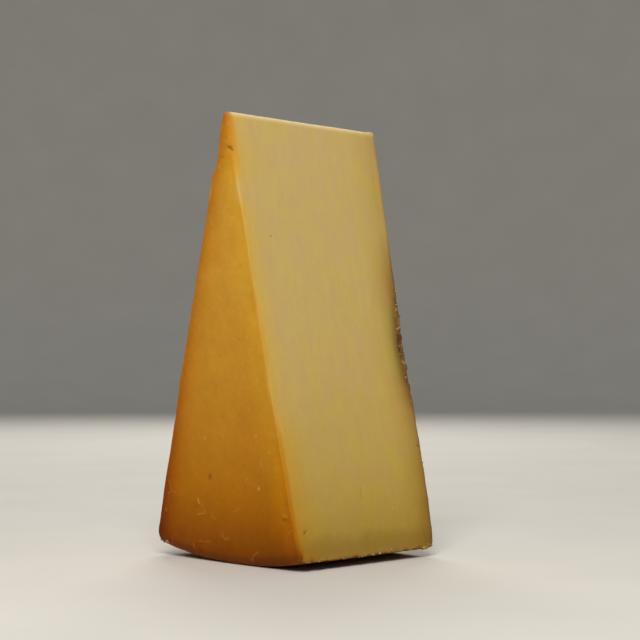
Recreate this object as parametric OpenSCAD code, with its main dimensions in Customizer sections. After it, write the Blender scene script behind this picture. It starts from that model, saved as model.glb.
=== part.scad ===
// Wedge of smoked cheddar, cut out of a whole wheel and standing on its outer rind.
// X runs along the wheel's axis, from the smoked face at -X to the natural rind at +X.
// One knife cut faces -Y and the other faces +Y, and the nose at the top was the
// wheel's middle. The origin is the middle of the flat spot that the wedge stands on.

/* [Wheel] */
// Radius of the whole wheel, from its middle to the outer rind
wheel_radius = 150; // [110:1:190]
// Thickness of the wheel at its outer rind
rim_thickness = 60.5; // [40:0.5:90]
// How far the smoked face swells out at the wheel's middle
smoked_swell = 2.2; // [0.5:0.1:6]
// How far the natural rind swells out at the wheel's middle
natural_swell = 3.3; // [0.5:0.1:6]
// Radius of the rounded rim beside the smoked face
smoked_rim_radius = 3.2; // [1:0.1:8]
// Radius of the rounded rim beside the natural rind
natural_rim_radius = 2.4; // [1:0.1:8]

/* [Knife cuts] */
// Angle between the two knife cuts
sector_angle = 26.3; // [16:0.1:40]
// How far short of the wheel's middle the nose is trimmed off
nose_trim = 7.7; // [4:0.1:20]
// Width of the blunt nose
nose_width = 2.9; // [2:0.1:10]
// How far the cut that faces -Y is hollow
hollow_bow = 0.7; // [0.2:0.1:3]
// How far the cut that faces +Y is bulged
bulged_bow = 0.6; // [0.2:0.1:3]
// How far the knife was turned away from the wheel's axis, in degrees
cut_skew = 1.5; // [0:0.1:4]

/* [Standing] */
// Width of the flat spot worn on the rind where the wedge stands
flat_width = 20; // [12:1:30]
// How far the wedge is turned about the wheel's axis as it stands, in degrees
stand_turn = 0.9; // [0:0.1:2.5]

/* [Hidden] */

// Sides of a full turn on the wheel
wheel_sides = 360;
// Steps of the arc that rounds each rim, and of each bowed cut
rim_steps = 10;
cut_steps = 12;
// How far the cutting shapes reach past the cheese
overcut = 5;

// Height of the wheel's axis once the flat spot rests on the table
axis_height = sqrt(pow(wheel_radius, 2) - pow(flat_width / 2, 2));
// Thickness of the wheel at its middle, with both swells
middle_thickness = rim_thickness + smoked_swell + natural_swell;
// Length of each cut, from the nose until it is well clear of the rind
cut_length = (wheel_radius + overcut) / cos(sector_angle / 2);

// Points of the quarter arc that rounds one rim, from the flat face to the outer rind.
// The flat face falls by swell from the wheel's middle to the rim.
function rim_arc(half_thickness, swell, radius) =
    let (
        slope = atan(swell / wheel_radius),
        centre_r = wheel_radius - radius,
        face_at_centre = half_thickness + swell * radius / wheel_radius,
        centre_x = face_at_centre - radius / cos(slope)
    )
    [for (i = [0 : rim_steps])
        let (turn = (90 - slope) * (1 - i / rim_steps))
        [centre_r + radius * cos(turn), centre_x + radius * sin(turn)]];

// The same points in the opposite order, on the other side of the wheel
function mirrored(points) =
    [for (i = [len(points) - 1 : -1 : 0]) [points[i][0], -points[i][1]]];

// Points along one knife cut, from the nose down, in the plane across the wheel's axis.
// Side 1 is the cut towards +Y and side -1 the other. The bow also goes towards +Y.
function cut_line(side, bow) =
    [for (i = [0 : cut_steps])
        let (
            share = i / cut_steps,
            along = cut_length * share,
            across = 4 * bow * share * (1 - share),
            tilt = side * sector_angle / 2
        )
        [
            side * nose_width / 2 + along * sin(tilt) + across * cos(tilt),
            -nose_trim - along * cos(tilt) + across * sin(tilt)
        ]];

// Half of the wheel's outline: across is the distance from the axis, up is along it
module wheel_outline() {
    half = rim_thickness / 2;
    natural_rim = rim_arc(half, natural_swell, natural_rim_radius);
    smoked_rim = mirrored(rim_arc(half, smoked_swell, smoked_rim_radius));
    polygon(concat(
        [[0, half + natural_swell]],
        natural_rim,
        smoked_rim,
        [[0, -half - smoked_swell]]
    ));
}

// The whole wheel, on edge, with its axis along X
module wheel() {
    rotate([0, 90, 0])
        rotate_extrude($fn = wheel_sides)
            wheel_outline();
}

// Outline of the sector, seen along the wheel's axis, with its nose up
module sector_outline() {
    hollow_cut = cut_line(-1, hollow_bow);
    bulged_cut = cut_line(1, bulged_bow);
    polygon(concat(hollow_cut, [for (i = [cut_steps : -1 : 0]) bulged_cut[i]]));
}

// The sector's outline, drawn out along the wheel's axis
module sector() {
    depth = middle_thickness + 2 * overcut;
    rotate([90, 0, 90])
        translate([0, 0, -depth / 2])
            linear_extrude(height = depth)
                sector_outline();
}

// Everything above the table
module above_table() {
    span = 2 * (wheel_radius + overcut);
    translate([-span / 2, -span / 2, 0])
        cube([span, span, span]);
}

// The wedge as it stands: the wheel, less what the knife and the flat spot took
module wedge() {
    color("#C9A55E")
        intersection() {
            translate([0, 0, axis_height])
                wheel();
            translate([0, 0, axis_height])
                rotate([stand_turn, 0, -cut_skew])
                    sector();
            above_table();
        }
}

wedge();
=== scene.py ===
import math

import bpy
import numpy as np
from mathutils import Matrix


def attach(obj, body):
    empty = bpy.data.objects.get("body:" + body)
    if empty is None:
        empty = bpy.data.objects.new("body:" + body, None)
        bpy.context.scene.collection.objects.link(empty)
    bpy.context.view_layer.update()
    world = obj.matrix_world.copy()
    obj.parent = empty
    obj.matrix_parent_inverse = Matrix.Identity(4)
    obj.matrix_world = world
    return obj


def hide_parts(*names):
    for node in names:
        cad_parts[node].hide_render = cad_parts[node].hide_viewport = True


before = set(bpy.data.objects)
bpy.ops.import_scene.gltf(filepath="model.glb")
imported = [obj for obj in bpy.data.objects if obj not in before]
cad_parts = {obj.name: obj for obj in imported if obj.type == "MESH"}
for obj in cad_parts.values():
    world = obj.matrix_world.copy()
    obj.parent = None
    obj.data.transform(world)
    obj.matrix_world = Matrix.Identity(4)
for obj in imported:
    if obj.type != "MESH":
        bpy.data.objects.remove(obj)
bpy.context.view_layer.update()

# A wedge of smoked cheddar, standing on the outer rind of the wheel it was cut from.
#
# The CAD node gives the wedge's place and box. This script replaces it with a dense
# mesh of the same form, whose edges are softened, crumbled and chipped, and whose
# vertices carry how deep they lie under each face of the wheel and under each cut.
# One procedural material reads those depths. The crumbs along the edges are a second,
# joined mesh. Lengths are in millimetres until a mesh is made, and depths count
# inwards from a face, so they are positive inside the cheese.

MM = 0.001

# The wheel, and the two knife cuts that the wedge has from it. The smoked rim is worn a
# little rounder here than on the CAD solid.
WHEEL_RADIUS = 150.0
RIM_THICKNESS = 60.5
SMOKED_SWELL = 2.2
NATURAL_SWELL = 3.3
SMOKED_RIM = 4.0
NATURAL_RIM = 2.4
HALF_SECTOR = math.radians(26.3 / 2)
NOSE_TRIM = 7.7
NOSE_WIDTH = 2.9
HOLLOW_BOW = 0.7
BULGED_BOW = 0.6
CUT_SKEW = math.radians(1.5)
FLAT_WIDTH = 20.0
STAND_TURN = math.radians(0.9)
OVERCUT = 5.0
AXIS_HEIGHT = math.sqrt(WHEEL_RADIUS ** 2 - (FLAT_WIDTH / 2) ** 2)
CUT_LENGTH = (WHEEL_RADIUS + OVERCUT) / math.cos(HALF_SECTOR)

# Where the real wedge leaves the plain form: its nose slopes down to the natural side,
# a chip is off the nose's back edge, and the natural side stands out near the bottom
NOSE_LIFT = 1.0
NOSE_SLOPE = 0.015
CHIP_DEPTH = 0.8
CHIP_BOTTOM = 124.3
LEDGE_DEPTH = 0.7
LEDGE_TOP = 57.0

# Radius of the edges between the crust and the cuts, with what adds to it beside the
# smoked face, at the front cut near the nose, and along the lower edges. The edges of the
# nose and of the flat spot have a radius of their own.
EDGE_RADIUS = 0.25
EDGE_AT_SMOKED = 0.25
EDGE_WORN = 1.3
EDGE_LOW = 0.6
NOSE_RADIUS = 1.2
FLOOR_RADIUS = 0.3

# Where the rough strip of natural rind lies, up from the floor, and its half height
STRIP_MIDDLE = 71.0
STRIP_HALF = 17.0

# Crumbs: how many lie along the edges, the height where those of the natural rind end,
# their least radius and the most that adds to it, and the share of its radius by which a
# crumb's middle stands out of the cheese
CRUMB_COUNT = 440
CRUMB_TOP = 110.0
CRUMB_LEAST = 0.12
CRUMB_SPREAD = 0.34
CRUMB_RISE = 0.25

# Spacing of the mesh at the edges and in the middle of each face
FINE = 0.28
COARSE = 0.85
FINE_REACH = 7.0


# ---------------------------------------------------------------- plain functions

def smooth(value, low, high):
    """0 below low, 1 above high, and a smooth step between them."""
    t = np.clip((value - low) / (high - low), 0.0, 1.0)
    return t * t * (3.0 - 2.0 * t)


def hump(value, middle, width):
    """A bell of height 1 around middle."""
    return np.exp(-((value - middle) / width) ** 2)


def round_max(a, b, radius):
    """The outer of two signed distances, with the edge where they meet rounded."""
    over_a = np.maximum(a + radius, 0.0)
    over_b = np.maximum(b + radius, 0.0)
    return np.minimum(np.maximum(a, b), -radius) + np.hypot(over_a, over_b)


def noise(points, period, seed):
    """Smooth gradient noise, about -1 to 1, at points given in millimetres."""
    rng = np.random.default_rng(seed)
    order = rng.permutation(256)
    slopes = rng.normal(size=(256, 3))
    slopes /= np.linalg.norm(slopes, axis=1)[:, None]
    q = points / period + rng.uniform(0.0, 1.0, 3)
    cell = np.floor(q).astype(np.int64)
    f = q - cell
    fade = f * f * f * (f * (f * 6.0 - 15.0) + 10.0)
    total = np.zeros(len(points))
    for corner in range(8):
        step = np.array([corner & 1, corner >> 1 & 1, corner >> 2 & 1])
        at = (cell + step) & 255
        key = order[(order[(order[at[:, 0]] + at[:, 1]) & 255] + at[:, 2]) & 255]
        weight = np.prod(np.where(step == 1, fade, 1.0 - fade), axis=1)
        total += weight * np.einsum("ij,ij->i", slopes[key], f - step)
    return 1.6 * total


def layered(points, period, layers, seed):
    """Noise with finer and weaker layers on top."""
    total = np.zeros(len(points))
    for i in range(layers):
        total += noise(points, period / 2.0 ** i, seed + i) / 2.0 ** i
    return total


# ------------------------------------------------------------- form of the wedge

def to_sector(p):
    """Points as seen along the knife: x along the cut, u across it, v up from the wheel's axis."""
    x, y, z = p[:, 0], p[:, 1], p[:, 2] - AXIS_HEIGHT
    along = math.cos(CUT_SKEW) * x - math.sin(CUT_SKEW) * y
    y = math.sin(CUT_SKEW) * x + math.cos(CUT_SKEW) * y
    u = math.cos(STAND_TURN) * y + math.sin(STAND_TURN) * z
    v = math.cos(STAND_TURN) * z - math.sin(STAND_TURN) * y
    return along, u, v


def cut_depth(u, v, side, bow):
    """Depth under one knife cut: side -1 faces -Y, side 1 faces +Y."""
    tilt = side * HALF_SECTOR
    du = u - side * NOSE_WIDTH / 2
    dv = v + NOSE_TRIM
    along = du * math.sin(tilt) - dv * math.cos(tilt)
    off = du * math.cos(tilt) + dv * math.sin(tilt)
    share = np.clip(along / CUT_LENGTH, 0.0, 1.0)
    return side * (4.0 * bow * share * (1.0 - share) - off)


def depths(p):
    """How deep each point lies under each face of the wedge."""
    x, z = p[:, 0], p[:, 2]
    radius = np.hypot(p[:, 1], z - AXIS_HEIGHT)
    swell = 1.0 - radius / WHEEL_RADIUS
    _, u, v = to_sector(p)
    half = RIM_THICKNESS / 2
    return {
        "smoked": x + half + SMOKED_SWELL * swell,
        "natural": half + NATURAL_SWELL * swell + natural_ledge(z) - x,
        "rind": WHEEL_RADIUS - radius,
        "front": cut_depth(u, v, -1, HOLLOW_BOW),
        "back": cut_depth(u, v, 1, BULGED_BOW) - nose_chip(x, z),
        "nose": NOSE_LIFT - NOSE_TRIM - NOSE_SLOPE * x - v,
        "floor": z,
    }


def nose_chip(x, z):
    """Depth of the chip that is broken off the back edge of the smoked face, at the nose."""
    above = smooth(z, CHIP_BOTTOM - 1.0, CHIP_BOTTOM + 1.0)
    fading = 1.0 - 0.85 * smooth(z, CHIP_BOTTOM + 4.0, 140.0)
    return CHIP_DEPTH * above * fading * (1.0 - smooth(x, -26.0, -18.0))


def natural_ledge(z):
    """How far the natural side stands out near the bottom."""
    return LEDGE_DEPTH * (1.0 - smooth(z, LEDGE_TOP - 2.0, LEDGE_TOP + 1.0)) * smooth(z, -4.0, 22.0)


def crust_depth(d):
    """Depth under the wheel's own surface, with both of its rims rounded."""
    wheel = round_max(-d["rind"], -d["smoked"], SMOKED_RIM)
    return -round_max(wheel, -d["natural"], NATURAL_RIM)


def outside(p):
    """Signed distance to the wedge's smooth surface, positive outside."""
    d = depths(p)
    cuts = np.maximum(-d["front"], -d["back"])
    sector = round_max(cuts, -d["nose"], NOSE_RADIUS)
    in_front = 1.0 - smooth(d["front"] - d["back"], -1.0, 1.0)
    at_smoked = 1.0 - smooth(d["smoked"], 3.0, 12.0)
    worn = EDGE_WORN * in_front * smooth(p[:, 2], 104.0, 138.0)
    low = EDGE_LOW * (1.0 - smooth(d["rind"], 2.0, 6.0))
    body = round_max(-crust_depth(d), sector, EDGE_RADIUS + at_smoked * (EDGE_AT_SMOKED + worn) + low)
    return round_max(body, -d["floor"], FLOOR_RADIUS)


def slope_of(p):
    """Direction straight out of the surface at each point."""
    step = 0.02
    slope = np.empty_like(p)
    for axis in range(3):
        offset = np.zeros(3)
        offset[axis] = step
        slope[:, axis] = (outside(p + offset) - outside(p - offset)) / (2 * step)
    return slope / np.maximum(np.linalg.norm(slope, axis=1), 1e-6)[:, None]


# --------------------------------------------------------------- mesh of the wedge

def graded(length):
    """Shares from 0 to 1 of a length, close together at both ends and wider between."""
    half = [0.0]
    while half[-1] < length / 2:
        growth = min(1.0, half[-1] / FINE_REACH)
        half.append(half[-1] + FINE + (COARSE - FINE) * growth)
    near = np.array(half) / half[-1] / 2
    return np.concatenate([near, 1.0 - near[-2::-1]])


def cut_point(x, along, side, bow):
    """y, and height over the wheel's axis, of a point at x on one knife cut."""
    tilt = side * HALF_SECTOR
    share = np.clip(along / CUT_LENGTH, 0.0, 1.0)
    off = 4.0 * bow * share * (1.0 - share)
    u = side * NOSE_WIDTH / 2 + along * math.sin(tilt) + off * math.cos(tilt)
    v = -NOSE_TRIM - along * math.cos(tilt) + off * math.sin(tilt)
    y = math.cos(STAND_TURN) * u - math.sin(STAND_TURN) * v
    up = math.sin(STAND_TURN) * u + math.cos(STAND_TURN) * v
    return np.array([(y - math.sin(CUT_SKEW) * x) / math.cos(CUT_SKEW), up])


def cut_reach(x, side, bow):
    """Length of one knife cut at x, from the nose to the rind."""
    along = np.full_like(x, WHEEL_RADIUS)
    for _ in range(8):
        along += WHEEL_RADIUS - np.hypot(*cut_point(x, along, side, bow))
    return along


def block_points(across, side, down):
    """First places of the vertices, on the surface of the wedge with sharp edges."""
    middle_x = (across - 0.5) * RIM_THICKNESS
    start = (NOSE_SLOPE * middle_x - NOSE_LIFT) / math.cos(HALF_SECTOR)
    here, end = [], []
    for way, bow in ((-1, HOLLOW_BOW), (1, BULGED_BOW)):
        reach = cut_reach(middle_x, way, bow)
        here.append(cut_point(middle_x, start + (reach - start) * down, way, bow))
        end.append(cut_point(middle_x, reach, way, bow))
    y, up = here[0] * (1 - side) + here[1] * side
    end_radius = np.hypot(*(end[0] * (1 - side) + end[1] * side))
    bulge = 1.0 + (WHEEL_RADIUS / end_radius - 1.0) * down ** 4
    y, up = y * bulge, up * bulge
    swell = 1.0 - np.hypot(y, up) / WHEEL_RADIUS
    low = -RIM_THICKNESS / 2 - SMOKED_SWELL * swell
    high = RIM_THICKNESS / 2 + NATURAL_SWELL * swell + natural_ledge(up + AXIS_HEIGHT)
    x = low + (high - low) * across
    return np.stack([x, y - math.tan(CUT_SKEW) * (x - middle_x), up + AXIS_HEIGHT], axis=1)


def block_grid():
    """Vertices and quads of a closed block of six gridded faces, shaped like the wedge."""
    width = 2.0 * WHEEL_RADIUS * math.sin(HALF_SECTOR)
    steps = [graded(RIM_THICKNESS), graded(width), graded(CUT_LENGTH)]
    counts = [len(s) for s in steps]
    number = np.full(counts, -1, dtype=np.int64)
    skin = np.zeros(counts, dtype=bool)
    for axis in range(3):
        ends = [slice(None)] * 3
        ends[axis] = [0, -1]
        skin[tuple(ends)] = True
    number[skin] = np.arange(skin.sum())
    place = np.argwhere(skin)
    points = block_points(*[steps[axis][place[:, axis]] for axis in range(3)])
    quads = []
    for axis in range(3):
        for end in (0, -1):
            sheet = np.take(number, end, axis=axis)
            corners = [sheet[:-1, :-1], sheet[1:, :-1], sheet[1:, 1:], sheet[:-1, 1:]]
            if (axis == 1) == (end == 0):
                corners.reverse()
            quads.append(np.stack([c.ravel() for c in corners], axis=1))
    return points, np.concatenate(quads)


def settle(points):
    """Moves the points onto the wedge's smooth surface."""
    for _ in range(5):
        points = points - outside(points)[:, None] * slope_of(points)
    return points


# Marks: centre, half sizes, turn in degrees about the way the face looks, tone and height.
# Tone is below 0 for a dark spot and above 0 for a pale one. Height below 0 is a hollow.
# A pale tone is partly a painted highlight on a raised rim; a dark tone is partly a stain and partly painted
# shade in a hollow.
MARKS = [
    ((-32, -1.2, 131.6), (3, 1.5, 0.55), 42, -1.1, -0.5),
    ((-32, -0.2, 133.3), (3, 1.5, 0.35), 35, 0.6, 0.2),
    ((-32, 2.4, 129.0), (3, 0.7, 0.4), 0, -0.7, -0.2),
    ((-32, 3.8, 126.0), (3, 0.6, 0.9), 0, 0.8, 0.1),
    ((-31, 10.0, 27.3), (3, 0.9, 1.2), 0, -0.9, -0.4),
    ((-31, 15.5, 19.3), (3, 0.4, 1.3), -25, 1.2, 0.15),
    ((-31, 16.2, 17.3), (3, 1.0, 0.6), 0, -0.4, -0.1),
    ((-31, 14.3, 15.2), (3, 3.2, 0.3), -10, 0.5, 0.05),
    ((-31, 8.3, 14.3), (3, 1.9, 0.3), 28, 0.4, 0.05),
    ((-31, 12.2, 39.5), (3, 1.0, 0.7), 0, 0.6, 0.1),
    ((-31, -11.5, 41.0), (3, 1.1, 0.7), 30, 0.6, 0.1),
    ((-31, -17.8, 36.2), (3, 0.9, 0.7), 0, 0.5, 0.05),
    ((-31, -7.0, 27.0), (3, 0.35, 1.5), 25, 0.5, 0.05),
    ((-31, -12.7, 24.8), (3, 0.9, 0.8), 35, 1.0, 0.15),
    ((-31, -24.0, 15.9), (3, 1.0, 0.6), 0, -0.9, -0.3),
    ((-31, -24.3, 17.1), (3, 1.6, 0.4), 15, 0.6, 0.15),
    ((-21, -9.0, 104.0), (0.5, 3, 0.5), 0, -0.7, -0.3),
    ((3.5, -8.0, 112.0), (1.6, 3, 1.2), 0, 0.3, 0.0),
    ((-26, -29.0, 12.0), (0.9, 3, 0.5), -30, -1.0, -0.4),
    ((1.0, -27.0, 22.5), (0.3, 3, 2.8), 8, -0.35, -0.1),
    ((14.0, -29.0, 16.5), (0.7, 3, 0.4), 0, 0.7, 0.1),
]


def mark_reach(p, centre, half_sizes):
    """1 at the rim of a mark, and 0 at its centre."""
    broad = np.maximum(half_sizes, 0.8)
    return np.linalg.norm((p - np.array(centre)) / broad, axis=1)


def edge_share(one, other, reach):
    """1 where two faces meet, falling to 0 at a depth of reach below either."""
    return 1.0 - smooth(np.maximum(one, other), 0.15, reach)


def relief(p):
    """How far each point stands out of the smooth surface."""
    d = depths(p)
    cut = np.minimum(np.minimum(d["front"], d["back"]), d["nose"])
    on_cut = 1.0 - smooth(cut, 0.1, 1.2)
    on_smoked = 1.0 - smooth(d["smoked"], 0.1, 1.5)
    on_natural = 1.0 - smooth(d["natural"], 0.1, 1.0)
    on_rind = 1.0 - smooth(d["rind"], 0.1, 1.5)
    drawn = p * np.array([1.0, 1.0, 0.07])
    out = on_cut * (0.20 * noise(p, 34, 11) + 0.045 * noise(drawn, 2.4, 12) + 0.02 * noise(p, 2.0, 13))
    out += on_smoked * (0.20 * noise(p, 17, 21) + 0.08 * layered(p, 5.0, 2, 22))
    strip = hump(p[:, 2], STRIP_MIDDLE, STRIP_HALF)
    rough = 0.3 + 0.7 * np.maximum(strip, smooth(cut, 1.0, 5.0))
    out += on_natural * rough * (0.40 * layered(p, 8.0, 3, 31) + 0.18 * noise(p, 1.5, 35))
    out += on_rind * (0.22 * noise(p, 12, 41) + 0.14 * layered(p, 3.6, 2, 42))
    knife = np.minimum(d["front"], d["back"])
    lower_edge = edge_share(d["rind"], knife, 2.2)
    natural_edge = edge_share(d["natural"], cut, 2.8)
    smoked_edge = edge_share(d["smoked"], cut, 2.0)
    lumps = noise(p, 2.1, 51)
    worst = 0.08 + 0.92 * strip
    out += natural_edge * 0.30
    out -= lower_edge * 0.6 * np.maximum(lumps + 0.2, 0.0)
    out += natural_edge * worst * (0.5 * lumps + 0.3 * noise(p, 1.2, 52) - 0.15)
    out += smoked_edge * 0.10 * noise(p, 6.0, 61)
    for centre, half_sizes, _, _, height in MARKS:
        out += height * np.exp(-1.5 * mark_reach(p, centre, half_sizes) ** 2)
    return out * smooth(p[:, 2], 0.0, 0.8)


def mesh_object(name, points, faces):
    """A smooth-shaded mesh object from points in millimetres."""
    mesh = bpy.data.meshes.new(name)
    mesh.from_pydata((points * MM).tolist(), [], faces.tolist())
    mesh.polygons.foreach_set("use_smooth", np.ones(len(mesh.polygons), dtype=bool))
    mesh.update()
    piece = bpy.data.objects.new(name, mesh)
    bpy.context.scene.collection.objects.link(piece)
    return piece


def store(mesh, name, values):
    """Keeps one number for each vertex, for the material to read."""
    layer = mesh.attributes.new(name, "FLOAT", "POINT")
    layer.data.foreach_set("value", np.asarray(values, dtype=np.float32))


def smoked_reach(p):
    """How far the smoked colour runs on round the edge onto a cut, or stops short of it."""
    z = p[:, 2]
    upper = 1.7 * smooth(z, 118.0, 130.0) - 1.6 * hump(z, 118.0, 4.0)
    middle = 0.3 * hump(z, 70.0, 8.0) - 0.4 * hump(z, 55.0, 6.0)
    lower = 1.1 * (1.0 - smooth(z, 38.0, 50.0)) + 2.0 * (1.0 - smooth(z, 2.0, 9.0))
    return upper + middle + lower - 0.3 + 0.3 * noise(p, 9.0, 71)


def natural_reach(p):
    """How far the natural rind shows on a cut. Below 0 the paste runs on round the edge."""
    z = p[:, 2]
    return 2.8 * hump(z, 71.0, 18.0) - 0.4 + 0.25 * noise(p, 5.0, 72)


def store_depths(mesh, p):
    """Stores the depths that colour the cheese, taken before the relief."""
    d = depths(p)
    near_natural = 1.0 - smooth(d["natural"] - np.minimum(d["rind"], d["smoked"]), -1.0, 1.0)
    near_smoked = smooth(d["rind"] - d["smoked"], -1.0, 1.0) * (1.0 - near_natural)
    reach = -0.3 + near_smoked * (smoked_reach(p) + 0.3) + near_natural * (natural_reach(p) + 0.3)
    behind = np.minimum(d["back"] + 1.6 * near_smoked, d["nose"] + 0.5 * near_smoked)
    store(mesh, "past_crust", crust_depth(d) - np.minimum(d["front"], behind) - reach)
    store(mesh, "near_smoked", near_smoked)
    # A painted shade along the rounded edge of the smoked face at the front cut and the nose: it darkens the
    # highlight this edge catches, less so about 117 mm up.
    width = 0.65 + 0.75 * smooth(p[:, 2], 104.0, 132.0)
    edge = hump(d["smoked"] + np.minimum(d["front"], d["nose"]), 0.0, width)
    store(mesh, "smoked_edge", edge * (1.0 - 0.5 * hump(p[:, 2], 117.0, 8.0)))
    store(mesh, "past_smoked", d["smoked"] - smoked_reach(p))
    store(mesh, "past_natural", d["natural"] - natural_reach(p))
    store(mesh, "under_smoked", d["smoked"])
    store(mesh, "under_natural", d["natural"])
    store(mesh, "under_rind", d["rind"])
    store(mesh, "under_front", np.minimum(d["front"], d["nose"]))
    store(mesh, "under_back", d["back"])
    store(mesh, "under_nose", d["nose"])


def store_browning(mesh, p):
    """How brown, and how olive instead of russet, the paste is beside the natural rind."""
    z = p[:, 2]
    brown = 1.0 - 0.57 * smooth(z, 88.0, 114.0) - 0.25 * (1.0 - smooth(z, 42.0, 54.0))
    store(mesh, "browning", brown + 0.10 * noise(p, 14.0, 73))
    store(mesh, "oliveness", smooth(z, 56.0, 62.0) * (1.0 - smooth(z, 78.0, 86.0)))


def make_wedge():
    """The wedge's mesh object, and its points in millimetres before and after the relief."""
    points, quads = block_grid()
    points = settle(points)
    shaped = points + relief(points)[:, None] * slope_of(points)
    shaped[:, 2] = np.maximum(shaped[:, 2], 0.0)
    piece = mesh_object("cheese_wedge", shaped, quads)
    store_depths(piece.data, points)
    store_browning(piece.data, points)
    return piece, points, shaped


# --------------------------------------------------------------------- materials

def linear(red, green, blue):
    """The linear colour for one given as 0 to 255 on a screen."""
    steps = [c / 255.0 for c in (red, green, blue)]
    return tuple(c / 12.92 if c <= 0.04045 else ((c + 0.055) / 1.055) ** 2.4 for c in steps) + (1.0,)


def share(red, green, blue):
    """A colour that darkens what it multiplies."""
    return (red, green, blue, 1.0)


class Graph:
    """Builds one node material."""

    def __init__(self, name):
        self.material = bpy.data.materials.new(name)
        self.material.use_nodes = True
        self.tree = self.material.node_tree
        self.tree.nodes.clear()

    def node(self, kind, **settings):
        made = self.tree.nodes.new(kind)
        for key, value in settings.items():
            setattr(made, key, value)
        return made

    def feed(self, socket, value):
        if isinstance(value, bpy.types.NodeSocket):
            self.tree.links.new(value, socket)
        else:
            socket.default_value = value

    def math(self, operation, a, b=0.0):
        made = self.node("ShaderNodeMath", operation=operation)
        self.feed(made.inputs[0], a)
        self.feed(made.inputs[1], b)
        return made.outputs[0]

    def total(self, *values):
        result = values[0]
        for value in values[1:]:
            result = self.math("ADD", result, value)
        return result

    def place(self):
        """Object coordinates, in millimetres."""
        source = self.node("ShaderNodeTexCoord")
        made = self.node("ShaderNodeVectorMath", operation="SCALE")
        self.feed(made.inputs[0], source.outputs["Object"])
        made.inputs["Scale"].default_value = 1.0 / MM
        return made.outputs[0]

    def stretched(self, vector, x, y, z):
        made = self.node("ShaderNodeVectorMath", operation="MULTIPLY")
        self.feed(made.inputs[0], vector)
        made.inputs[1].default_value = (x, y, z)
        return made.outputs[0]

    def stored(self, name):
        return self.node("ShaderNodeAttribute", attribute_name=name).outputs["Fac"]

    def noise(self, vector, period, detail=2.0, rough=0.5, distort=0.0):
        """Noise around 0, mostly within half of it either way."""
        made = self.node("ShaderNodeTexNoise")
        self.feed(made.inputs["Vector"], vector)
        made.inputs["Scale"].default_value = 1.0 / period
        made.inputs["Detail"].default_value = detail
        made.inputs["Roughness"].default_value = rough
        made.inputs["Distortion"].default_value = distort
        return self.math("SUBTRACT", made.outputs["Fac"], 0.5)

    def cells(self, vector, period, feature="F1"):
        """Distance to the nearest cell's point, or to the nearest cell wall."""
        made = self.node("ShaderNodeTexVoronoi", feature=feature)
        self.feed(made.inputs["Vector"], vector)
        made.inputs["Scale"].default_value = 1.0 / period
        return made.outputs["Distance"]

    def step(self, value, low, high):
        made = self.node("ShaderNodeMapRange", interpolation_type="SMOOTHSTEP")
        self.feed(made.inputs["Value"], value)
        made.inputs["From Min"].default_value = low
        made.inputs["From Max"].default_value = high
        return made.outputs["Result"]

    def ramp(self, value, reach, stops):
        """Colours along a depth: stops are pairs of a depth, up to reach, and a colour."""
        made = self.node("ShaderNodeValToRGB")
        self.feed(made.inputs["Fac"], self.math("DIVIDE", value, reach))
        band = made.color_ramp
        band.interpolation = "LINEAR"
        while len(band.elements) > 1:
            band.elements.remove(band.elements[-1])
        for i, (depth, colour) in enumerate(stops):
            spot = band.elements[0] if i == 0 else band.elements.new(depth / reach)
            spot.position = depth / reach
            spot.color = colour
        return made.outputs["Color"]

    def mix(self, factor, a, b, blend="MIX"):
        made = self.node("ShaderNodeMix", data_type="RGBA", blend_type=blend)
        self.feed(made.inputs[0], factor)
        self.feed(made.inputs[6], a)
        self.feed(made.inputs[7], b)
        return made.outputs[2]

    def blend(self, factor, a, b):
        """The same for two numbers."""
        made = self.node("ShaderNodeMix", data_type="FLOAT")
        self.feed(made.inputs[0], factor)
        self.feed(made.inputs[2], a)
        self.feed(made.inputs[3], b)
        return made.outputs[0]

    def times(self, colour, value):
        """A colour made brighter or darker by a number around 1."""
        made = self.node("ShaderNodeVectorMath", operation="SCALE")
        self.feed(made.inputs[0], colour)
        self.feed(made.inputs["Scale"], value)
        return made.outputs[0]

    def finish(self, colour, rough, height, subsurface, depth_scale):
        """Ends in one Principled shader. Height is in millimetres."""
        shader = self.node("ShaderNodeBsdfPrincipled")
        bump = self.node("ShaderNodeBump")
        bump.inputs["Distance"].default_value = MM
        self.feed(bump.inputs["Height"], height)
        self.feed(shader.inputs["Base Color"], colour)
        self.feed(shader.inputs["Roughness"], rough)
        self.feed(shader.inputs["Normal"], bump.outputs["Normal"])
        shader.inputs["Specular IOR Level"].default_value = 0.06
        shader.inputs["Subsurface Weight"].default_value = subsurface
        shader.inputs["Subsurface Scale"].default_value = depth_scale
        shader.inputs["Subsurface Radius"].default_value = (1.0, 0.5, 0.2)
        target = self.node("ShaderNodeOutputMaterial")
        self.feed(target.inputs["Surface"], shader.outputs[0])
        return self.material


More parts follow.
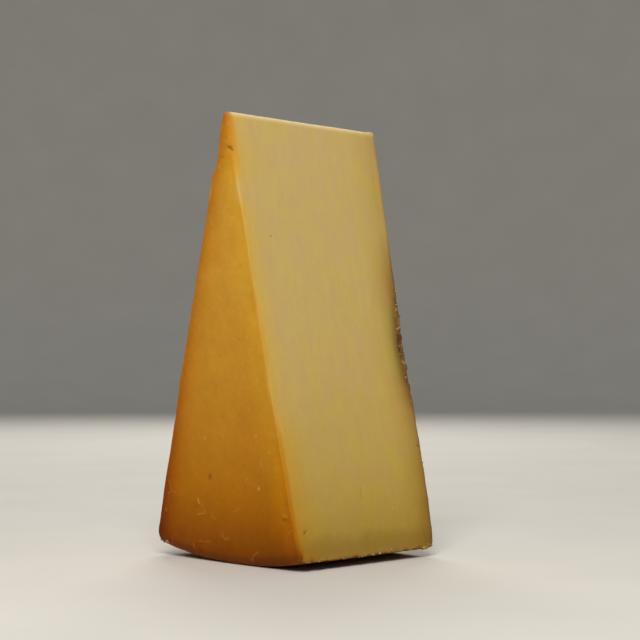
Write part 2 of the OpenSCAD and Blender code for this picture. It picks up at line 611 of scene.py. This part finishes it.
def paste_colour(g, place):
    """The inside of the cheese, as the knife left it."""
    past = g.math("ADD", g.stored("past_smoked"), g.math("MULTIPLY", g.noise(place, 4.0), 0.8))
    colour = g.ramp(past, 12.0, [
        (0.0, linear(204, 163, 72)),
        (0.8, linear(205, 166, 78)),
        (2.2, linear(201, 167, 86)),
        (4.0, linear(198, 168, 93)),
        (7.0, linear(195, 167, 100)),
        (12.0, linear(194, 168, 104)),
    ])
    warm = g.math("SUBTRACT", 1.0, g.step(g.stored("under_rind"), 28.0, 52.0))
    warm = g.math("MULTIPLY", warm, g.math("SUBTRACT", 1.0, g.step(past, 3.0, 10.0)))
    colour = g.mix(warm, colour, g.mix(1.0, colour, share(1.0, 0.93, 0.82), "MULTIPLY"))
    tall = g.stretched(place, 1.0, 1.0, 0.75)
    mauve = g.step(g.noise(tall, 6.5, 3.0), -0.16, 0.18)
    colour = g.mix(mauve, colour, g.mix(1.0, colour, share(0.99, 0.965, 1.14), "MULTIPLY"))
    yellow = g.step(g.noise(tall, 9.0, 3.0), -0.10, 0.20)
    colour = g.mix(yellow, colour, g.mix(1.0, colour, share(1.0, 1.015, 0.86), "MULTIPLY"))
    drawn = g.stretched(place, 1.0, 1.0, 0.12)
    streak = g.math("MULTIPLY", g.noise(drawn, 2.4, 3.0, 0.6), 0.08)
    grain = g.math("MULTIPLY", g.noise(place, 0.9, 2.0), 0.07)
    colour = g.times(colour, g.total(1.0, streak, grain))
    # A painted highlight: the paste within about 2 mm of the nose top is made paler, for the light that the
    # nose's rounded top edge catches.
    nose_highlight = g.math("SUBTRACT", 1.0, g.step(g.stored("under_nose"), 0.2, 2.2))
    colour = g.mix(g.math("MULTIPLY", nose_highlight, 0.6), colour, linear(224, 206, 146))
    return g.mix(1.0, colour, paste_shade(g, place), "MULTIPLY")


def paste_shade(g, place):
    """How the paste darkens and yellows towards the outer rind and natural rind; towards the bottom this is
    partly painted shade.
    """
    wander = g.math("MULTIPLY", g.noise(place, 7.0, 3.0), 5.0)
    # Darker and yellower towards the bottom: partly the paste's own colour under the rind, and partly
    # painted shade, from the light falling off towards the floor and the contact shade at the bottom edge.
    low = g.ramp(g.math("ADD", g.stored("under_rind"), wander), 90.0, [
        (0.0, share(0.66, 0.54, 0.32)),
        (2.0, share(0.58, 0.48, 0.25)),
        (4.5, share(0.58, 0.50, 0.24)),
        (8.5, share(0.75, 0.67, 0.34)),
        (16.0, share(0.83, 0.77, 0.45)),
        (30.0, share(0.92, 0.88, 0.64)),
        (55.0, share(0.99, 0.96, 0.86)),
        (90.0, share(1.0, 1.0, 1.0)),
    ])
    past_natural = g.math("ADD", g.stored("past_natural"), g.math("MULTIPLY", wander, 0.12))
    olive = g.ramp(past_natural, 13.0, [
        (0.0, share(0.38, 0.30, 0.22)),
        (0.7, share(0.41, 0.36, 0.28)),
        (1.6, share(0.51, 0.48, 0.40)),
        (2.9, share(0.68, 0.69, 0.62)),
        (4.7, share(0.82, 0.83, 0.78)),
        (7.4, share(0.95, 0.94, 0.92)),
        (13.0, share(1.0, 1.0, 1.0)),
    ])
    russet = g.ramp(past_natural, 13.0, [
        (0.0, share(0.36, 0.25, 0.20)),
        (0.9, share(0.42, 0.32, 0.28)),
        (1.8, share(0.55, 0.45, 0.40)),
        (2.8, share(0.65, 0.56, 0.52)),
        (4.2, share(0.76, 0.69, 0.66)),
        (6.5, share(0.87, 0.82, 0.78)),
        (9.6, share(0.95, 0.92, 0.90)),
        (13.0, share(1.0, 0.99, 0.98)),
    ])
    side = g.mix(g.stored("oliveness"), russet, olive)
    side = g.mix(g.stored("browning"), share(1.0, 1.0, 1.0), side)
    yellow = g.ramp(past_natural, 18.0, [
        (0.0, share(1.01, 1.0, 0.84)),
        (5.0, share(1.01, 1.0, 0.80)),
        (12.0, share(1.0, 1.0, 0.90)),
        (18.0, share(1.0, 1.0, 1.0)),
    ])
    return g.mix(1.0, low, g.mix(1.0, side, yellow, "MULTIPLY"), "MULTIPLY")


def skin_colour(g, place):
    """The smoked skin of the wheel's flat face."""
    wander = g.math("MULTIPLY", g.noise(place, 5.0, 3.0), 2.0)
    front = g.ramp(g.math("ADD", g.stored("under_front"), g.math("MULTIPLY", wander, 0.6)), 12.0, [
        (0.0, linear(202, 150, 46)),
        (2.6, linear(204, 153, 46)),
        (5.0, linear(203, 151, 48)),
        (9.0, linear(201, 147, 49)),
        (12.0, linear(199, 145, 48)),
    ])
    # A painted glow: low down and within about 9 mm of the front cut, the skin is made brighter and
    # yellower, for light shining through the corner of the cheese.
    painted_edge_glow = g.math("SUBTRACT", 1.0, g.step(g.stored("under_front"), 2.0, 9.0))
    painted_edge_glow = g.math("MULTIPLY", painted_edge_glow, g.math("SUBTRACT", 1.0, g.step(g.stored("under_rind"), 16.0, 46.0)))
    front = g.mix(painted_edge_glow, front, g.mix(1.0, front, share(1.18, 1.16, 0.6), "MULTIPLY"))
    # Darker and redder towards the back cut: partly smoke stain, and partly painted shade where the edge
    # turns away from the light.
    back = g.ramp(g.math("ADD", g.stored("under_back"), wander), 13.0, [
        (0.0, share(0.74, 0.57, 0.32)),
        (1.6, share(0.80, 0.63, 0.40)),
        (3.2, share(0.885, 0.755, 0.56)),
        (5.5, share(0.96, 0.88, 0.78)),
        (9.0, share(1.0, 0.97, 0.94)),
        (13.0, share(1.0, 1.0, 1.0)),
    ])
    nose = g.math("SUBTRACT", 1.0, g.step(g.stored("under_nose"), 8.0, 20.0))
    front = g.mix(nose, front, g.mix(1.0, front, share(0.93, 0.85, 0.88), "MULTIPLY"))
    # Towards the bottom the back edge darkens twice over, with more painted shade there
    twice = g.math("SUBTRACT", 1.0, g.step(g.stored("under_rind"), 14.0, 60.0))
    back = g.mix(twice, back, g.mix(1.0, back, back, "MULTIPLY"))
    # Darker and browner towards the bottom: partly the smoke's browning near the rim, and partly painted
    # shade of the light falling off towards the floor.
    low = g.ramp(g.math("ADD", g.stored("under_rind"), g.math("MULTIPLY", wander, 2.0)), 90.0, [
        (0.0, share(0.32, 0.14, 0.0)),
        (2.5, share(0.35, 0.165, 0.0)),
        (6.0, share(0.42, 0.235, 0.01)),
        (12.0, share(0.55, 0.345, 0.02)),
        (22.0, share(0.70, 0.51, 0.10)),
        (38.0, share(0.84, 0.71, 0.40)),
        (60.0, share(0.92, 0.86, 0.70)),
        (90.0, share(1.0, 1.0, 1.0)),
    ])
    colour = g.mix(1.0, g.mix(1.0, front, back, "MULTIPLY"), low, "MULTIPLY")
    broad = g.math("MULTIPLY", g.noise(place, 9.0, 3.0, 0.6), 0.24)
    middling = g.math("MULTIPLY", g.noise(place, 3.2, 3.0, 0.6), 0.14)
    fine = g.math("MULTIPLY", g.noise(place, 1.4, 3.0, 0.6), 0.16)
    colour = g.times(colour, g.total(1.0, broad, middling, fine))
    redder = g.step(g.noise(place, 15.0, 2.0), 0.0, 0.25)
    return g.mix(redder, colour, g.mix(1.0, colour, share(1.0, 0.95, 0.88), "MULTIPLY"))


def mark_tones(g, place):
    """The dark and the pale marks, as numbers below and above 0, with ragged rims.

    A mark on the smoked face is turned about x, and one on a cut about y.
    """
    tone = 0.0
    mean_shift = 0.5
    ragged = g.node("ShaderNodeTexNoise")
    g.feed(ragged.inputs["Vector"], place)
    ragged.inputs["Scale"].default_value = 1.0
    moved = g.node("ShaderNodeVectorMath", operation="ADD")
    g.feed(moved.inputs[0], ragged.outputs["Color"])
    g.feed(moved.inputs[1], place)
    for centre, half_sizes, turn, strength, _ in MARKS:
        on_smoked = centre[0] < -30
        spot = g.node("ShaderNodeMapping", vector_type="TEXTURE")
        g.feed(spot.inputs["Vector"], moved.outputs[0])
        spot.inputs["Location"].default_value = [c + mean_shift for c in centre]
        angle = math.radians(turn)
        spot.inputs["Rotation"].default_value = (angle, 0, 0) if on_smoked else (0, angle, 0)
        spot.inputs["Scale"].default_value = half_sizes
        away = g.node("ShaderNodeVectorMath", operation="LENGTH")
        g.feed(away.inputs[0], spot.outputs[0])
        inside = g.math("SUBTRACT", 1.0, g.step(away.outputs["Value"], 0.3, 1.3))
        tone = g.math("ADD", tone, g.math("MULTIPLY", inside, strength))
    return tone


def scratch_lines(g, place):
    """Short, thin, curved marks in the smoked skin."""
    bent = g.node("ShaderNodeTexNoise")
    g.feed(bent.inputs["Vector"], place)
    bent.inputs["Scale"].default_value = 1.0 / 6.0
    moved = g.node("ShaderNodeVectorMath", operation="MULTIPLY_ADD")
    g.feed(moved.inputs[0], bent.outputs["Color"])
    moved.inputs[1].default_value = (7.0, 7.0, 7.0)
    g.feed(moved.inputs[2], place)
    wall = g.cells(moved.outputs[0], 11.0, "DISTANCE_TO_EDGE")
    line = g.math("SUBTRACT", 1.0, g.step(wall, 0.0, 0.05))
    some = g.step(g.noise(place, 8.0, 2.0), 0.06, 0.14)
    return g.math("MULTIPLY", line, some)


def rind_colour(g, place):
    """The outer rind, smoked and handled to a dark amber brown."""
    broad = g.step(g.noise(place, 10.0, 4.0, 0.6), -0.2, 0.2)
    colour = g.mix(broad, linear(112, 54, 6), linear(148, 82, 14))
    fine = g.step(g.noise(place, 1.8, 4.0, 0.7), -0.05, 0.25)
    return g.mix(fine, colour, linear(158, 98, 32))


def natural_colour(g, place):
    """The natural rind: brown and crumbly, with grey and pinkish flecks."""
    broad = g.step(g.noise(place, 9.0, 4.0, 0.6), -0.2, 0.2)
    colour = g.mix(broad, linear(88, 60, 28), linear(136, 102, 56))
    dusty = g.step(g.noise(place, 2.6, 5.0, 0.7), 0.02, 0.22)
    colour = g.mix(dusty, colour, linear(172, 146, 110))
    fleck = g.step(g.noise(place, 1.1, 3.0, 0.6), 0.08, 0.18)
    return g.mix(g.math("MULTIPLY", fleck, 0.7), colour, linear(190, 156, 122))


def cheese_material():
    """The one material of the wedge, which the stored depths steer."""
    g = Graph("cheese")
    place = g.place()
    others = g.math("MINIMUM", g.stored("under_rind"), g.stored("under_smoked"))
    to_natural = g.math("SUBTRACT", g.stored("under_natural"), others)
    is_natural = g.math("SUBTRACT", 1.0, g.step(to_natural, -1.0, 1.0))
    to_rind = g.math("SUBTRACT", g.stored("under_rind"), g.stored("under_smoked"))
    is_rind = g.math("SUBTRACT", 1.0, g.step(to_rind, -1.6, 1.0))
    crumbly = g.math("MULTIPLY", g.noise(place, 1.3, 4.0, 0.65), g.blend(is_natural, 0.6, 2.4))
    ragged = g.step(g.math("ADD", g.stored("past_crust"), crumbly), -0.15, 0.25)
    soft = g.step(g.math("ADD", g.stored("past_crust"), g.math("MULTIPLY", crumbly, 0.5)), -1.6, 1.5)
    is_paste = g.blend(g.stored("near_smoked"), ragged, soft)
    scratch = scratch_lines(g, place)
    skin = g.mix(g.math("MULTIPLY", scratch, 0.2), skin_colour(g, place), linear(208, 152, 66))
    crust = g.mix(is_rind, skin, rind_colour(g, place))
    crust = g.mix(is_natural, crust, natural_colour(g, place))
    colour = g.mix(is_paste, crust, paste_colour(g, place))
    tone = mark_tones(g, place)
    # Pale marks are partly painted highlights on the rims of dents and scratches; dark marks are partly
    # stains and partly painted shade in their hollows.
    pale = g.math("MULTIPLY", g.math("MAXIMUM", tone, 0.0), 0.45)
    colour = g.mix(pale, colour, linear(216, 162, 80))
    dark = g.math("MULTIPLY", g.math("MAXIMUM", g.math("MULTIPLY", tone, -1.0), 0.0), 0.6)
    colour = g.mix(dark, colour, linear(118, 66, 8))
    # Painted shade: the colour is darkened by up to 12% along the rounded smoked edge, against the highlight
    # that edge catches.
    edge = g.math("MULTIPLY", g.stored("smoked_edge"), -0.12)
    colour = g.times(colour, g.math("ADD", edge, 1.0))
    roughness = surface_roughness(g, place, is_natural, is_rind, is_paste)
    height = surface_height(g, place, is_natural, is_rind, is_paste, scratch)
    return g.finish(colour, roughness, height, 0.2, 3.0 * MM)


def surface_roughness(g, place, is_natural, is_rind, is_paste):
    """Satin skin and paste, and dull rinds."""
    skin = g.math("ADD", 0.50, g.math("MULTIPLY", g.noise(place, 4.0, 4.0), 0.3))
    crust = g.blend(is_natural, g.blend(is_rind, skin, 0.7), 0.9)
    paste = g.math("ADD", 0.56, g.math("MULTIPLY", g.noise(place, 3.0, 4.0), 0.25))
    return g.blend(is_paste, crust, paste)


def surface_height(g, place, is_natural, is_rind, is_paste, scratch):
    """Fine relief, in millimetres: grain, knife lines, pores and scratches."""
    drawn = g.stretched(place, 1.0, 1.0, 0.05)
    paste = g.total(
        g.math("MULTIPLY", g.noise(drawn, 1.2, 3.0, 0.6), 0.05),
        g.math("MULTIPLY", g.noise(place, 0.7, 3.0), 0.03),
    )
    skin = g.total(
        g.math("MULTIPLY", g.noise(place, 1.7, 4.0, 0.6), 0.15),
        g.math("MULTIPLY", scratch, -0.03),
    )
    rind = g.math("MULTIPLY", g.noise(place, 1.6, 5.0, 0.7), 0.5)
    natural = g.math("MULTIPLY", g.noise(place, 1.2, 5.0, 0.75), 0.9)
    crust = g.blend(is_natural, g.blend(is_rind, skin, rind), natural)
    return g.blend(is_paste, crust, paste)


def crumb_material():
    """Loose crumbs: pale paste, some of it browned."""
    g = Graph("crumbs")
    place = g.place()
    mixed = g.step(g.noise(place, 1.6, 2.0), -0.1, 0.2)
    colour = g.mix(mixed, linear(172, 140, 84), linear(140, 104, 58))
    pale = g.step(g.noise(place, 0.9, 2.0), 0.05, 0.2)
    colour = g.mix(pale, colour, linear(196, 168, 118))
    height = g.math("MULTIPLY", g.noise(place, 0.4, 3.0), 0.1)
    return g.finish(colour, 0.6, height, 0.2, 0.2 * MM)


def floor_material():
    """Plain, pale and dull."""
    g = Graph("floor")
    tone = g.step(g.noise(g.place(), 60.0, 2.0), -0.3, 0.3)
    colour = g.mix(tone, linear(203, 199, 191), linear(207, 203, 195))
    return g.finish(colour, 0.75, g.math("MULTIPLY", tone, 0.02), 0.0, MM)


# ------------------------------------------------------------------------ crumbs

# Larger crumbs that hang on the lower corners: place and radius
PLACED_CRUMBS = [
    ((26.5, -32.0, 2.9), 0.95),
    ((24.0, -32.0, 4.6), 0.45),
    ((21.0, -32.0, 3.8), 0.4),
    ((-29.5, 32.0, 5.0), 0.5),
]


def ball(rings=5, sectors=8):
    """Points and faces of a small round ball, for one crumb."""
    points = [(0.0, 0.0, 1.0)]
    for i in range(1, rings):
        tilt = math.pi * i / rings
        for k in range(sectors):
            turn = 2 * math.pi * k / sectors
            points.append((math.sin(tilt) * math.cos(turn), math.sin(tilt) * math.sin(turn), math.cos(tilt)))
    points.append((0.0, 0.0, -1.0))
    faces = []
    for k in range(sectors):
        after = (k + 1) % sectors
        faces.append((0, 1 + k, 1 + after))
        for i in range(rings - 2):
            row, below = 1 + i * sectors, 1 + (i + 1) * sectors
            faces.append((row + k, below + k, below + after))
            faces.append((row + k, below + after, row + after))
        last = 1 + (rings - 2) * sectors
        faces.append((last + k, len(points) - 1, last + after))
    return np.array(points), np.array(faces)


def crumb_sites(points, rng):
    """Vertices that a crumb sits on, with the crumb's radius: dense along the crumbly edges."""
    d = depths(points)
    cut = np.minimum(d["front"], d["back"])
    lower = edge_share(d["rind"], cut, 1.6)
    strip = hump(points[:, 2], STRIP_MIDDLE, STRIP_HALF)
    natural = edge_share(d["natural"], cut, 2.0) * (0.04 + strip)
    natural *= points[:, 2] < CRUMB_TOP
    chance = lower + 0.8 * natural
    chance /= chance.sum()
    sites = rng.choice(len(points), size=CRUMB_COUNT, replace=False, p=chance)
    sizes = CRUMB_LEAST + CRUMB_SPREAD * rng.random(CRUMB_COUNT) ** 4
    for place, size in PLACED_CRUMBS:
        nearest = np.argmin(np.linalg.norm(points - np.array(place), axis=1))
        sites = np.append(sites, nearest)
        sizes = np.append(sizes, size)
    return sites, sizes


def make_crumbs(smooth_points, shaped):
    """All crumbs as one joined mesh, each sunk a little into the cheese."""
    rng = np.random.default_rng(5)
    sites, sizes = crumb_sites(smooth_points, rng)
    ways = slope_of(smooth_points[sites])
    form, faces = ball()
    all_points, all_faces = [], []
    for i, (site, way, size) in enumerate(zip(sites, ways, sizes)):
        squash = 0.6 + 0.8 * rng.random(3)
        lumps = 1.0 + 0.5 * noise(form * 1.3 + 10.0 * i, 1.0, 81)
        crumb = form * lumps[:, None] * squash * size
        centre = shaped[site] + way * size * CRUMB_RISE
        all_points.append(crumb + centre)
        all_faces.append(faces + i * len(form))
    points = np.concatenate(all_points)
    points[:, 2] = np.maximum(points[:, 2], 0.05)
    return mesh_object("crumbs", points, np.concatenate(all_faces))


# ------------------------------------------- stage, camera and lights, in metres

def make_floor():
    """A pale round floor that sweeps up into a low wall, far from the cheese."""
    flat, bend, top = 1.3, 0.7, 1.2
    profile = [(0.0, 0.0), (flat, 0.0)]
    for i in range(1, 17):
        turn = math.pi / 2 * i / 16
        profile.append((flat + bend * math.sin(turn), bend * (1 - math.cos(turn))))
    profile.append((flat + bend, top))
    turns = 96
    points = [(0.0, 0.0, 0.0)]
    for radius, height in profile[1:]:
        for k in range(turns):
            angle = 2 * math.pi * k / turns
            points.append((radius * math.cos(angle), radius * math.sin(angle), height))
    faces = [(0, 1 + k, 1 + (k + 1) % turns) for k in range(turns)]
    for i in range(len(profile) - 2):
        row, after = 1 + i * turns, 1 + (i + 1) * turns
        for k in range(turns):
            nxt = (k + 1) % turns
            faces.append((row + k, after + k, after + nxt, row + nxt))
    mesh = bpy.data.meshes.new("floor")
    mesh.from_pydata(points, [], faces)
    mesh.polygons.foreach_set("use_smooth", np.ones(len(mesh.polygons), dtype=bool))
    floor = bpy.data.objects.new("floor", mesh)
    bpy.context.scene.collection.objects.link(floor)
    mesh.materials.append(floor_material())


def make_camera():
    """Level camera, facing the edge between the smoked face and the front cut."""
    data = bpy.data.cameras.new("camera")
    data.lens = 92.5
    data.shift_y = 0.048
    camera = bpy.data.objects.new("camera", data)
    camera.location = (-0.3817, -0.3845, 0.0677)
    camera.rotation_euler = (math.radians(90), 0.0, math.radians(-45.5))
    bpy.context.scene.collection.objects.link(camera)
    bpy.context.scene.camera = camera


def make_light(name, place, target, size, power, colour):
    """A square soft light that faces target."""
    data = bpy.data.lights.new(name, "AREA")
    data.shape = "SQUARE"
    data.size = size
    data.energy = power
    data.color = colour
    light = bpy.data.objects.new(name, data)
    light.location = place
    way = np.array(target) - np.array(place)
    level = math.hypot(way[0], way[1])
    light.rotation_euler = (math.pi / 2 + math.atan2(way[2], level), 0.0, math.atan2(-way[0], way[1]))
    bpy.context.scene.collection.objects.link(light)


def make_lights():
    """Soft light from above and in front, with weaker light all round."""
    make_light("key", (-0.44, -0.38, 0.66), (0.0, 0.0, 0.08), 0.45, 6.6, (1.0, 0.98, 0.94))
    make_light("back", (0.55, 0.60, 0.65), (0.0, 0.0, 0.07), 0.60, 5.0, (1.0, 0.98, 0.95))
    world = bpy.data.worlds.new("world")
    world.use_nodes = True
    shade = world.node_tree.nodes["Background"]
    shade.inputs["Color"].default_value = (0.93, 0.96, 1.0, 1.0)
    shade.inputs["Strength"].default_value = 0.31
    bpy.context.scene.world = world
    bpy.context.scene.view_settings.view_transform = "Standard"


# ------------------------------------------------------------------- the pieces

def main():
    wedge, smooth_points, shaped = make_wedge()
    wedge.data.materials.append(cheese_material())
    crumbs = make_crumbs(smooth_points, shaped)
    crumbs.data.materials.append(crumb_material())
    for piece in (wedge, crumbs):
        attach(piece, "root")
    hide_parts("wedge")
    make_floor()
    make_camera()
    make_lights()


main()
